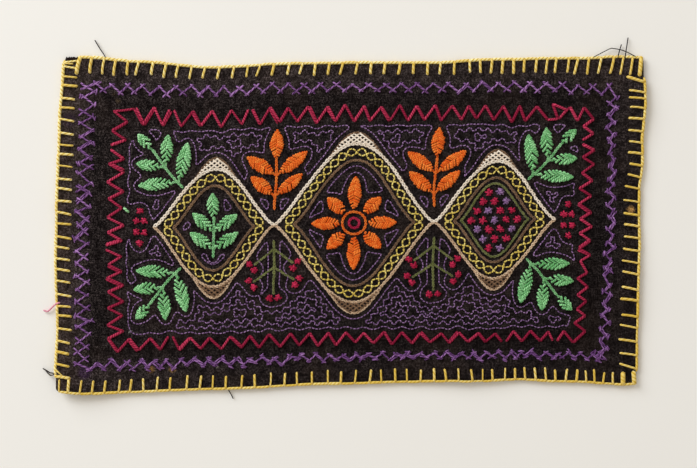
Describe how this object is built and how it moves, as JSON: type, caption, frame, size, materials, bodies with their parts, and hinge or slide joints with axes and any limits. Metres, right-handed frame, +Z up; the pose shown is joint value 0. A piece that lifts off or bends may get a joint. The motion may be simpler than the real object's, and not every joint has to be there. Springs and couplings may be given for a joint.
{
  "type": "shipibo ceremonial cloth",
  "caption": "Rectangular black cotton cloth with a folded hem, blanket-stitched edge, herringbone and zigzag borders and an embroidered centre; lies flat as a mat.",
  "frame": {"origin": "bottom centre of the cloth's box, on the surface it lies on", "axes": "+X along the long side towards the right edge, +Y towards the top edge, +Z up out of the embroidered face"},
  "size_m": [0.3312, 0.1902, 0.0056],
  "materials": {
    "black_cotton": "matt plain-woven cotton with lint",
    "yellow_yarn": "thick twisted yarn of the edging",
    "violet_yarn": "fine twisted yarn of the herringbone and filling lines",
    "crimson_yarn": "stranded yarn of the zigzag and star stitches",
    "green_yarn": "stranded yarn of the leaves",
    "orange_yarn": "stranded yarn of the rosettes and petals",
    "earth_yarn": "cream, tan, brown and olive yarns of the outlines",
    "sewing_thread": "loose ends of dark sewing thread"
  },
  "bodies": {
    "root": {"cloth": "black_cotton"}
  },
  "joints": []
}
